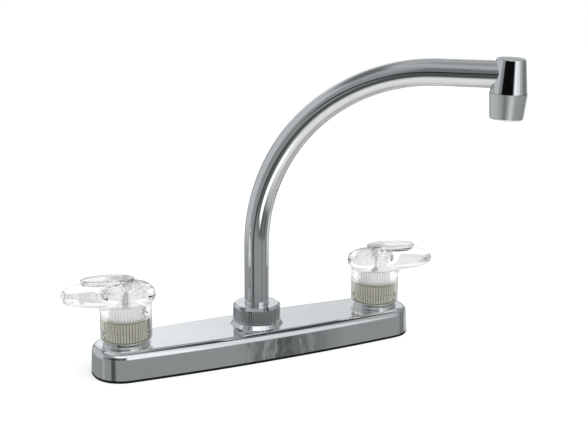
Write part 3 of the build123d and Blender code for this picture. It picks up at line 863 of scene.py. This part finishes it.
class RibRing:
    """Geometry Nodes tree that stands round ribs in a ring about a turned core."""

    INPUTS = {
        "Core": "Geometry", "Middle": "Vector", "Ring Radius": "Float", "Rib Radius": "Float",
        "Rib Height": "Float", "Count": "Int", "Finish": "Material",
    }
    NODES = {
        "given": "NodeGroupInput", "result": "NodeGroupOutput",
        "circle": "GeometryNodeMeshCircle", "rib": "GeometryNodeMeshCylinder",
        "smooth": "GeometryNodeSetShadeSmooth", "stand": "GeometryNodeInstanceOnPoints",
        "move": "GeometryNodeTransform", "join": "GeometryNodeJoinGeometry",
        "realize": "GeometryNodeRealizeInstances", "finish": "GeometryNodeSetMaterial",
    }
    LINKS = (
        ("given", "Count", "circle", "Vertices"),
        ("given", "Ring Radius", "circle", "Radius"),
        ("given", "Rib Radius", "rib", "Radius"),
        ("given", "Rib Height", "rib", "Depth"),
        ("rib", "Mesh", "smooth", "Geometry"),
        ("rib", "Side", "smooth", "Selection"),
        ("circle", "Mesh", "stand", "Points"),
        ("smooth", "Geometry", "stand", "Instance"),
        ("stand", "Instances", "move", "Geometry"),
        ("given", "Middle", "move", "Translation"),
        ("move", "Geometry", "join", "Geometry"),
        ("given", "Core", "join", "Geometry"),
        ("join", "Geometry", "realize", "Geometry"),
        ("realize", "Geometry", "finish", "Geometry"),
        ("given", "Finish", "finish", "Material"),
        ("finish", "Geometry", "result", "Geometry"),
    )
    RIB_SIDES = 14

    def __init__(self) -> None:
        """Build the tree: ribs on a circle's points, moved into place and joined to the core."""
        self.tree = bpy.data.node_groups.new("ring of ribs", "GeometryNodeTree")
        face = self.tree.interface
        self.inputs = {
            name: face.new_socket(
                name, in_out="INPUT", socket_type="NodeSocket" + kind).identifier
            for name, kind in self.INPUTS.items()
        }
        face.new_socket("Geometry", in_out="OUTPUT", socket_type="NodeSocketGeometry")
        nodes = {name: self.tree.nodes.new(kind) for name, kind in self.NODES.items()}
        nodes["rib"].inputs["Vertices"].default_value = self.RIB_SIDES
        for start, output, end, entry in self.LINKS:
            self.tree.links.new(nodes[start].outputs[output], nodes[end].inputs[entry])


# ---- the faucet


class Wardrobe:
    """The finished materials by the record's slot names."""

    def __init__(self) -> None:
        """Make each finish once, and look up each node's slot and body."""
        effects = Effects()
        record = frame["record"]
        self.ribs = RibRing()
        self.materials = {slot: finish.make(effects) for slot, finish in FINISHES.items()}
        self.slots = {piece["node"]: piece["material_slot"] for piece in record["subparts"]}
        bodies = record["behaviour"]["bodies"]
        self.bodies = {node: body for body, nodes in bodies.items() for node in nodes}

    def finish_of(self, node: str) -> Material:
        """Return the material of a CAD node's slot."""
        return self.materials[self.slots[node]]

    def dress(self, *nodes: str) -> None:
        """Give CAD nodes that are kept their slots' finishes.

        Args:
            nodes: The nodes' names.
        """
        for node in nodes:
            data = frame["nodes"][node].data
            data.materials.clear()
            data.materials.append(self.finish_of(node))
            log.info("%s dressed in %s", node, self.slots[node])

    def stand_in(self, piece: Object, node: str) -> None:
        """Let a finished piece take a CAD node's place, body and finish slot.

        Args:
            piece: The finished piece. It gets the slot's finish if it has none.
            node: The node's name.
        """
        if not piece.data.materials:
            piece.data.materials.append(self.finish_of(node))
        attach(piece, self.bodies[node])
        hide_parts(node)
        log.info("%s built in place of %s", piece.name, node)

    def ribbed(self, node: str, section: list[tuple[float, float]], x: float, ribs: Ribs) -> None:
        """Let a turned core with ribs, made one plain mesh, take a CAD node's place.

        Args:
            node: The node's name.
            section: Radius and height of each corner of the core's section.
            x: Where the upright axis stands.
            ribs: The ribs' sizes.
        """
        name = f"{node}_ribbed"
        core = turned(name, section, x)
        foot, top = min(z for _, z in section), max(z for _, z in section)
        modifier = core.modifiers.new("ribs", "NODES")
        modifier.node_group = self.ribs.tree
        for entry, value in (
            ("Middle", (x * MM, 0.0, (foot + top) / 2 * MM)),
            ("Ring Radius", (ribs.reach - ribs.radius) * MM),
            ("Rib Radius", ribs.radius * MM),
            ("Rib Height", (top - foot - 2 * ribs.margin) * MM),
            ("Count", ribs.count),
            ("Finish", self.finish_of(node)),
        ):
            modifier[self.ribs.inputs[entry]] = value
        graph = bpy.context.evaluated_depsgraph_get()
        mesh = bpy.data.meshes.new_from_object(core.evaluated_get(graph))
        bpy.data.objects.remove(core)
        mesh.name = name
        self.stand_in(linked(name, mesh), node)


@dataclass
class Assembly:
    """A sub-assembly, with the wardrobe that dresses it."""

    wardrobe: Wardrobe


@dataclass
class PlainAssembly(Assembly):
    """A sub-assembly whose pieces all keep their CAD shapes."""

    pieces: tuple[str, ...] = ()

    def build(self) -> None:
        """Dress the pieces."""
        self.wardrobe.dress(*self.pieces)


@dataclass
class Deck(PlainAssembly):
    """The pressed cover on its black gasket."""

    pieces: tuple[str, ...] = ("deck_gasket", "deck_cover")


@dataclass
class Valve(Assembly):
    """One valve: the brass body and what it holds, with a ribbed bonnet nut."""

    side: Side
    nut_radius: float = 14.2
    nut_ribs: Ribs = Ribs(reach=15.0, radius=0.62, count=45, margin=0.5)
    nut_bevel: float = 0.5
    nut_bore: float = 5.6
    thread_bore: float = 12.08
    lip: float = 2.9
    plain: tuple[str, ...] = (
        "valve_body", "crossover_tube", "cartridge", "stem", "stem_seal", "seat", "seat_spring",
        "cover_nut", "mounting_nut", "mounting_washer",
    )

    def build(self) -> None:
        """Dress the plain pieces and make the ribbed nut."""
        self.wardrobe.dress(*(self.side.node(piece) for piece in self.plain))
        self.bonnet_nut()

    def bonnet_nut(self) -> None:
        """Make the nut that is seen through the clear skirt."""
        node = self.side.node("bonnet_nut")
        foot, top = heights(node)
        inner, bore, outer, bevel = self.thread_bore, self.nut_bore, self.nut_radius, self.nut_bevel
        section = [
            (inner, foot), (outer - bevel, foot), (outer, foot + bevel), (outer, top - bevel),
            (outer - bevel, top), (bore, top), (bore, top - self.lip), (inner, top - self.lip),
        ]
        self.wardrobe.ribbed(node, section, self.side.x, self.nut_ribs)


@dataclass
class Handle(Assembly):
    """One clear lever handle with its frosted cap and the ribbed insert that grips the stem.

    The cap's profile is a list of insets from its outline, with heights above its foot in the
    edge and depths below its top in the face. The rim names the points whose grey is painted
    shade.
    """

    side: Side
    insert_radius: float = 12.3
    insert_ribs: Ribs = Ribs(reach=12.8, radius=0.55, count=40, margin=0.3)
    insert_gap: float = 0.3
    spline_bore: float = 4.7
    spline_depth: float = 8.6
    screw_bore: float = 2.3
    cap_half_length: float = 19.0
    cap_half_width: float = 9.9
    cap_reach: float = 12.15
    cap_foot: float = 67.7
    cap_gap: float = 0.06
    cap_edge: tuple[tuple[float, float], ...] = ((0.6, 0.0), (0.15, 0.12), (0.0, 0.45))
    cap_face: tuple[tuple[float, float], ...] = (
        (0.0, 0.55), (0.15, 0.15), (0.5, 0.0), (2.0, 0.0), (2.3, 0.1), (2.6, 0.4), (3.0, 0.45),
        (5.0, 0.36), (8.0, 0.3),
    )
    # Points that get the grey painted shade along the cap's edges.
    cap_rim: tuple[int, ...] = (0, 1, 4, 5, 6, 7)
    plug_radius: float = 4.4
    plug_overlap: float = 0.3
    plain: tuple[str, ...] = ("handle", "handle_screw")

    def build(self) -> None:
        """Dress the plain pieces and make the ribbed insert and the cap."""
        self.wardrobe.dress(*(self.side.node(piece) for piece in self.plain))
        self.insert()
        self.cap()

    def insert(self) -> None:
        """Make the milky insert inside the handle's head."""
        node = self.side.node("handle_insert")
        foot, top = heights(node)
        top -= self.insert_gap
        step = foot + self.spline_depth
        section = [
            (self.spline_bore, foot), (self.insert_radius, foot), (self.insert_radius, top),
            (self.screw_bore, top), (self.screw_bore, step), (self.spline_bore, step),
        ]
        self.wardrobe.ribbed(node, section, self.side.x, self.insert_ribs)

    def cap(self) -> None:
        """Make the oval cap with its raised rim and the plug that holds it."""
        node = self.side.node("index_cap")
        foot, top = heights(node)
        low = self.cap_foot + self.cap_gap
        profile = [(inset, low + rise) for inset, rise in self.cap_edge]
        profile += [(inset, top - drop) for inset, drop in self.cap_face]
        ovals = [(self.cap_half_length - inset, self.cap_half_width - inset, height)
                 for inset, height in profile]
        plug = [(self.plug_radius, self.plug_radius, height)
                for height in (foot, low + self.plug_overlap)]
        shape = bmesh.new()
        add_ovals(shape, ovals, self.side.x, self.side.lever, self.cap_reach, self.cap_rim)
        add_ovals(shape, plug, self.side.x, self.side.lever, 0.0)
        self.wardrobe.stand_in(finished(f"{node}_rimmed", shape), node)


@dataclass
class Spout(PlainAssembly):
    """The swinging spout, its hub and the nut that holds it down."""

    pieces: tuple[str, ...] = (
        "spout_hub", "spout_nut", "spout_tube", "spout_end_fitting", "spout_seals",
        "spout_glide_washer", "spout_retaining_ring", "spout_head", "aerator_housing",
        "aerator_washer", "aerator_insert",
    )


# ---- studio


@dataclass(frozen=True)
class Panel:
    """A light or dark area of the studio, by its directions from the object.

    The numbers are its level, the azimuth of its middle, half its width, the elevations of its
    lower and upper end, and how soft its sides and its ends are.
    """

    name: str
    level: float
    azimuth: float
    half_width: float
    low: float
    high: float
    side_softness: float
    end_softness: float

    def lay(self, graph: Graph, direction: tuple[Socket, Socket, Socket], under: Socket) -> Socket:
        """Lay the panel over a colour.

        Args:
            graph: The world's graph.
            direction: The x, y and elevation sockets of the direction looked in.
            under: The colour below the panel.

        Returns:
            The colour with the panel over it.
        """
        x, y, elevation = direction
        turn, half, low, high, sides, ends = map(math.radians, (
            self.azimuth, self.half_width, self.low, self.high, self.side_softness,
            self.end_softness,
        ))
        cos, sin = math.cos(turn), math.sin(turn)
        ahead = graph.math("ADD", graph.times(x, cos), graph.times(y, sin))
        aside = graph.math("SUBTRACT", graph.times(y, cos), graph.times(x, sin))
        off = graph.math("ABSOLUTE", graph.math("ARCTAN2", aside, ahead))
        within = graph.span(off, half - sides, half + sides, 1.0, 0.0)
        above = graph.span(elevation, low - ends, low + ends)
        below = graph.span(elevation, high - ends, high + ends, 1.0, 0.0)
        mask = graph.times(within, graph.times(above, below))
        return graph.mix(mask, under, tinted(self.level, (self.low + self.high) / 2))


@dataclass(frozen=True)
class Lamp:
    """A soft square lamp that only matt surfaces see, with its power in watts."""

    name: str
    place: Triple
    size: float
    power: float

    def hang(self) -> None:
        """Hang the lamp and turn it to the frame's origin."""
        data = bpy.data.lights.new(self.name, "AREA")
        data.shape = "SQUARE"
        data.size = self.size * MM
        data.energy = self.power
        place = Vector(self.place)
        aim = (-place.normalized()).to_track_quat("-Z", "Y").to_matrix().to_4x4()
        lamp = linked(self.name, data)
        lamp.matrix_world = Matrix.Translation(place * MM) @ aim
        lamp.visible_glossy = False
        lamp.visible_transmission = False


@dataclass
class Studio:
    """Camera, pale floor, soft lamps and the room that the chrome mirrors.

    The focal length and the picture's width are in pixels. The room is its level at each
    elevation, under the panels. The clear plastic shows white with a share of the room. The
    board is the floor, and its lift is the glow that makes it white to the camera.
    """

    eye: Triple = (-335.74, -741.16, 309.40)
    ahead: Triple = (0.42922, 0.86817, -0.24908)
    roll: float = -0.36
    sensor_width: float = 36.0
    focal_length: float = 1144.79
    picture_width: float = 588.0
    sight: tuple[float, float] = (10.0, 50000.0)
    bounces: int = 24
    matt_level: float = 0.8
    room_share: float = 0.3
    board: tuple[float, float] = (0.86, 0.90)
    board_rough: float = 0.9
    board_lift: float = 0.30
    board_half: float = 4000.0
    hole_radius: float = 17.5
    hole_sides: int = 64
    lamps: tuple[Lamp, ...] = (
        Lamp("key lamp", (600, -500, 1100), 900, 4),
        Lamp("fill lamp", (-900, -400, 700), 1000, 2),
    )
    room: tuple[tuple[float, float], ...] = (
        (-90, 0.68), (-75, 0.80), (-50, 0.90), (-40, 0.66), (-33, 0.40), (-26, 0.30), (-12, 0.33),
        (0, 0.27), (20, 0.30), (45, 0.40), (60, 0.50), (76, 0.34), (90, 0.42),
    )
    panels: tuple[Panel, ...] = tuple(Panel(*row) for row in (
        ("pale wall", 0.76, 64, 32, 8, 30, 6, 6),
        ("lit end of the pale wall", 0.98, 80, 13, 8, 26, 6, 5),
        ("left wall", 0.57, 136, 34, -14, 36, 5, 5),
        ("left ceiling gap", 0.17, 128, 34, 41, 57, 8, 4),
        ("right ceiling gap", 0.06, -5, 50, 52, 74, 8, 3),
        ("ceiling light", 1.25, -117, 33, 33, 58, 4, 4),
        ("dim window", 0.47, -46, 13, -7, 50, 5, 6),
        ("broad window", 0.84, -73, 20, -6, 60, 3, 7),
        ("bright window", 1.08, -81, 8, -6, 58, 3, 6),
        ("right floor", 0.50, 15, 65, -90, -33, 15, 4),
        ("dark skirting", 0.13, -92, 60, -31, -19.5, 6, 2),
        ("left post", 0.09, -146, 9, -31, 3, 4, 3),
        ("low light", 1.5, -104, 13, -46, -23, 3, 3),
        ("arch", 0.27, -63, 5.5, -30, -9, 1.5, 2),
        ("shaded arch", 0.17, -62.6, 1.4, -30, -9, 0.5, 2),
        ("slit", 0.34, -65.5, 0.5, -30, -9, 0.3, 2),
        ("first thin post", 0.17, -66.8, 0.5, -30, -9, 0.3, 2),
        ("second thin post", 0.09, -64.3, 0.5, -30, -9, 0.3, 2),
        ("third thin post", 0.20, -59.6, 0.5, -30, -9, 0.3, 2),
        ("right post", 0.21, -8, 14, -28, 4, 6, 4),
        ("right light", 0.60, 28, 12, -24, -6, 6, 3),
        ("left light", 0.46, 171, 5, -22, -12, 4, 2),
        ("facing wall", 0.19, -146, 12, 8, 38, 4, 4),
        ("black flag", 0.003, -134.5, 35.5, 1.2, 8.5, 2, 1),
    ))

    def build(self) -> None:
        """Make the whole studio."""
        self.place_camera()
        self.paint_world()
        self.lay_floor()
        for lamp in self.lamps:
            lamp.hang()
        scene = bpy.context.scene
        scene.view_settings.view_transform = "Standard"
        scene.cycles.max_bounces = self.bounces
        scene.cycles.glossy_bounces = self.bounces // 2
        scene.cycles.transmission_bounces = self.bounces
        log.info("studio built")

    def place_camera(self) -> None:
        """Put the camera at the photograph's place and angle."""
        data = bpy.data.cameras.new("camera")
        data.sensor_width = self.sensor_width
        data.lens = self.sensor_width * self.focal_length / self.picture_width
        data.clip_start, data.clip_end = (distance * MM for distance in self.sight)
        camera = linked("camera", data)
        ahead = Vector(self.ahead).normalized()
        tilt = Matrix.Rotation(math.radians(self.roll), 3, ahead)
        right = tilt @ ahead.cross(Vector((0, 0, 1))).normalized()
        up = right.cross(ahead)
        turn = Matrix((right, up, -ahead)).transposed().to_4x4()
        camera.matrix_world = Matrix.Translation(Vector(self.eye) * MM) @ turn
        bpy.context.scene.camera = camera

    def paint_world(self) -> None:
        """Make the world: white to the camera, level to matt surfaces and a room to chrome."""
        world = bpy.data.worlds.new("studio")
        bpy.context.scene.world = world
        world.use_nodes = True
        world.node_tree.nodes.clear()
        graph = Graph(world.node_tree)
        x, y, z = graph.parts(graph.add("TexCoord").outputs["Generated"])
        elevation = graph.math("ARCSINE", z)
        climb = graph.between(elevation, 0.0, 1.0, -math.pi / 2, math.pi / 2)
        stops = (((angle + 90.0) / 180.0, tinted(level, angle)) for angle, level in self.room)
        room = graph.ramp(climb, tuple(stops))
        for panel in self.panels:
            room = panel.lay(graph, (x, y, elevation), room)
        through = graph.mix(self.room_share, grey(1.0), room)
        glow = graph.mix(graph.ray(Ray.GLOSSY), grey(self.matt_level), room)
        glow = graph.mix(graph.ray(Ray.TRANSMISSION), glow, through)
        glow = graph.mix(graph.ray(Ray.CAMERA), glow, grey(1.0))
        back = graph.add("Background")
        graph.put(back.inputs["Color"], glow)
        graph.put(graph.add("OutputWorld").inputs["Surface"], back.outputs[0])

    def lay_floor(self) -> None:
        """Lay the pale sink deck with its two holes round the shanks."""
        shape = bmesh.new()
        half, radius = self.board_half * MM, self.hole_radius
        corners = ((-1, -1), (1, -1), (1, 1), (-1, 1))
        loops = [[shape.verts.new((x * half, y * half, 0)) for x, y in corners]]
        for side in Side:
            loops.append([
                shape.verts.new(
                    ((side.x + radius * math.cos(turn)) * MM, radius * math.sin(turn) * MM, 0))
                for turn in turns(self.hole_sides)
            ])
        for loop in loops:
            for first, second in zip(loop, loop[1:] + loop[:1]):
                shape.edges.new((first, second))
        bmesh.ops.triangle_fill(shape, use_beauty=True, edges=shape.edges[:])
        floor = finished("floor", shape)
        floor.data.materials.append(self.board_finish())
        floor.visible_glossy = False

    def board_finish(self) -> Material:
        """Make the floor's finish: a matt white board, lifted to white for the camera.

        Returns:
            The new material.
        """
        board = Coat("pale board")
        cloud = board.noise(board.place, 8.0, detail=3.0)
        board.feed("Base Color", board.mix(cloud, *(grey(level) for level in self.board)))
        board.feed("Roughness", self.board_rough)
        board.feed("Specular IOR Level", 0.0)
        board.feed("Emission Color", grey(1.0))
        seen = board.math("MAXIMUM", board.ray(Ray.CAMERA), board.ray(Ray.TRANSMISSION))
        board.feed("Emission Strength", board.times(seen, self.board_lift))
        return board.material


def main() -> None:
    """Build the studio and every sub-assembly."""
    logging.basicConfig(level=logging.INFO, format="%(name)s: %(message)s")
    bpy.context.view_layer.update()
    Studio().build()
    wardrobe = Wardrobe()
    Deck(wardrobe).build()
    Spout(wardrobe).build()
    for side in Side:
        Valve(wardrobe, side).build()
        Handle(wardrobe, side).build()


if __name__ == "__main__":
    main()
